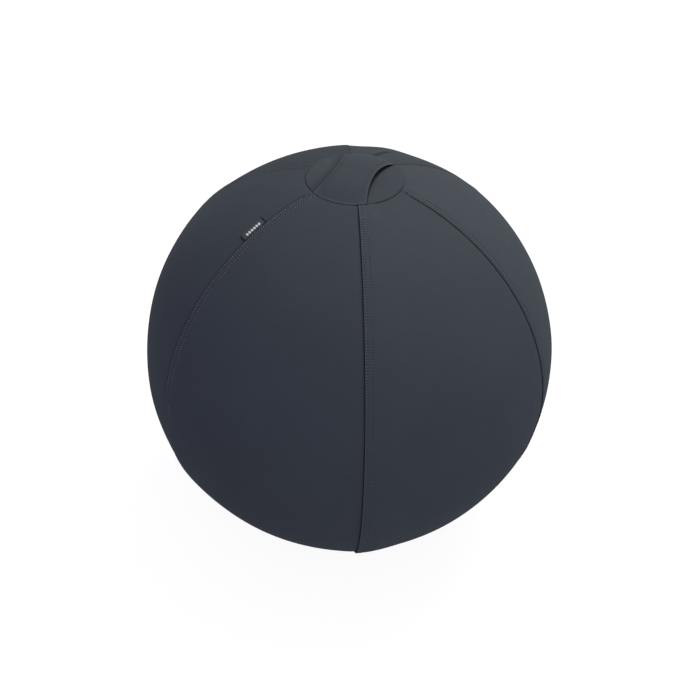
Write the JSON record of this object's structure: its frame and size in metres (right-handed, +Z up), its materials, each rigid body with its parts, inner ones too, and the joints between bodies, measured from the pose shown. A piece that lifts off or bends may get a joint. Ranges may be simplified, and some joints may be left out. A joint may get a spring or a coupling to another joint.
{
  "type": "sitting ball",
  "caption": "Inflated sitting ball in a zipped fabric cover of lapped panels, with a disc at the top, a wide carry strap across it and a small side label.",
  "frame": {"origin": "middle of the flat patch where the ball lies on the floor", "axes": "+Z up through the top disc, strap along Y with its near end towards -Y, zip seam 24.5 degrees from -Y towards +X, label 35.5 degrees from -Y towards -X"},
  "size_m": [0.6518, 0.65, 0.6597],
  "materials": {
    "cover": "matte",
    "label": "satin",
    "bladder": "satin",
    "plug": "satin",
    "sand": "matte",
    "zip_tape": "matte",
    "zip_teeth": "satin",
    "zip_metal": "satin"
  },
  "bodies": {
    "ball": {"cover_panel_1": "cover", "cover_panel_2": "cover", "cover_panel_3": "cover", "cover_panel_4": "cover", "cover_panel_5": "cover", "cover_panel_6": "cover", "top_disc": "cover", "base_disc": "cover", "bladder": "bladder", "valve_plug": "plug", "ballast_sand": "sand", "zip_tape_left": "zip_tape", "zip_tape_right": "zip_tape", "zip_teeth_left": "zip_teeth", "zip_teeth_right": "zip_teeth", "zip_top_stops": "zip_metal", "zip_bottom_stop": "zip_metal"},
    "handle": {"carry_handle": "cover"},
    "zip_runner": {"zip_slider": "zip_metal", "zip_pull": "zip_metal"},
    "label": {"side_label": "label"}
  },
  "joints": [
    {"name": "handle_lift", "type": "slide", "parent": "ball", "child": "handle", "axis": [0, 0, 1], "range_m": [0, 0.02]},
    {"name": "zip_run", "type": "hinge", "parent": "ball", "child": "zip_runner", "pos_m": [0, 0, 0.32183], "axis": [0.91, 0.4147, 0], "range_deg": [0, 65.6], "deforming": ["zip_teeth_left", "zip_teeth_right"]},
    {"name": "label_flap", "type": "hinge", "parent": "ball", "child": "label", "pos_m": [-0.0956, -0.13299, 0.60324], "axis": [0.5019, 0.7036, 0.503], "range_deg": [0, 90]}
  ]
}
